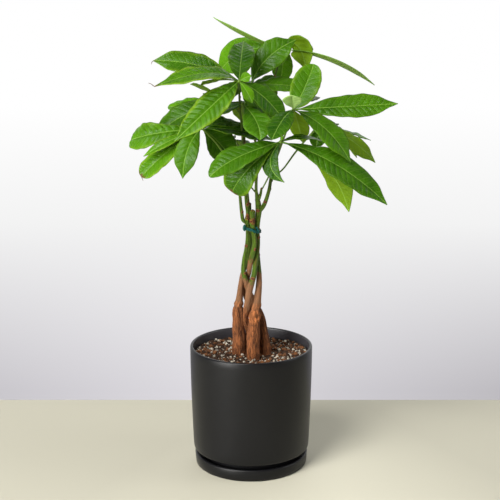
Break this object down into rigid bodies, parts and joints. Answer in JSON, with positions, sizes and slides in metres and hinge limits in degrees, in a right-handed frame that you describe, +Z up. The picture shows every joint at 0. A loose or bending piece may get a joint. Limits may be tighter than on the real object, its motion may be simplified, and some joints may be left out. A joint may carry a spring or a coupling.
{
  "type": "potted money tree",
  "caption": "Table-top house plant: a braided woody trunk with palmate glossy leaves, standing in soil in a round matte black pot on a saucer.",
  "frame": {"origin": "centre of the saucer's flat underside", "axes": "+Z up along the pot's axis, -Y towards the viewer in the picture, +X to the right in the picture"},
  "size_m": [0.3134, 0.2528, 0.5515],
  "materials": {
    "black_ceramic": "matte black, fine and even, with a soft sheen on the rims",
    "potting_mix": "damp bark and peat mix with pale perlite grains",
    "bark": "ridged brown bark below, smooth green young stem above",
    "leaf": "glossy mid green with pale midribs and quilted veins, duller below",
    "tie_plastic": "soft coated teal tie"
  },
  "bodies": {
    "root": {"saucer": "black_ceramic", "pot": "black_ceramic", "soil": "potting_mix", "stem_front": "bark", "stem_left": "bark", "stem_back_left": "bark", "stem_right": "bark", "stem_back_right": "bark", "tie": "tie_plastic", "leaf_front": "leaf", "leaf_under_front": "leaf", "leaf_left": "leaf", "leaf_back_left": "leaf", "leaf_right_front": "leaf", "leaf_right": "leaf", "leaf_middle": "leaf", "leaf_top": "leaf", "leaf_right_back": "leaf", "leaf_back": "leaf", "leaf_low_back": "leaf"}
  },
  "joints": []
}
